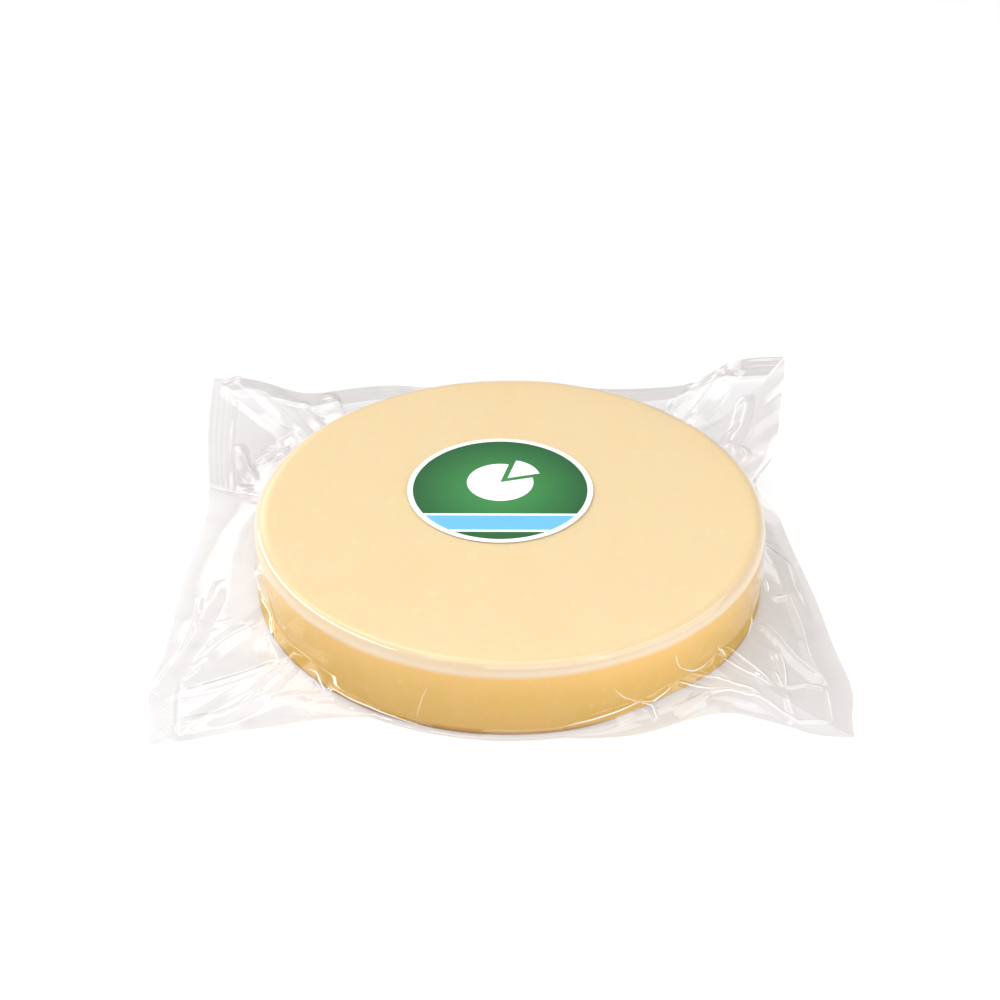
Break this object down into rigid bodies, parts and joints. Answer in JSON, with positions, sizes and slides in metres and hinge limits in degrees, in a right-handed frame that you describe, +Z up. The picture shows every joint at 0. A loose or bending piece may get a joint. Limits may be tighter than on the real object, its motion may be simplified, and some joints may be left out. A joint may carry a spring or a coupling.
{
  "type": "provoleta",
  "caption": "Flat round disc of aged, smoked cheese sealed in a clear vacuum pouch with creased corners and a plain round paper label, ready to be grilled.",
  "frame": {"origin": "centre of the cheese disc's underside, on the surface that it rests on", "axes": "+Z up through the disc, +X along the pouch's longer side, and the viewer stands towards -Y"},
  "size_m": [0.1575, 0.1442, 0.0206],
  "materials": {
    "film_over_cheese": "clear glossy film drawn tight over pale yellow cheese",
    "label_paper": "coated paper, satin"
  },
  "bodies": {
    "root": {"sealed_pouch": "film_over_cheese", "label": "label_paper"}
  },
  "joints": []
}
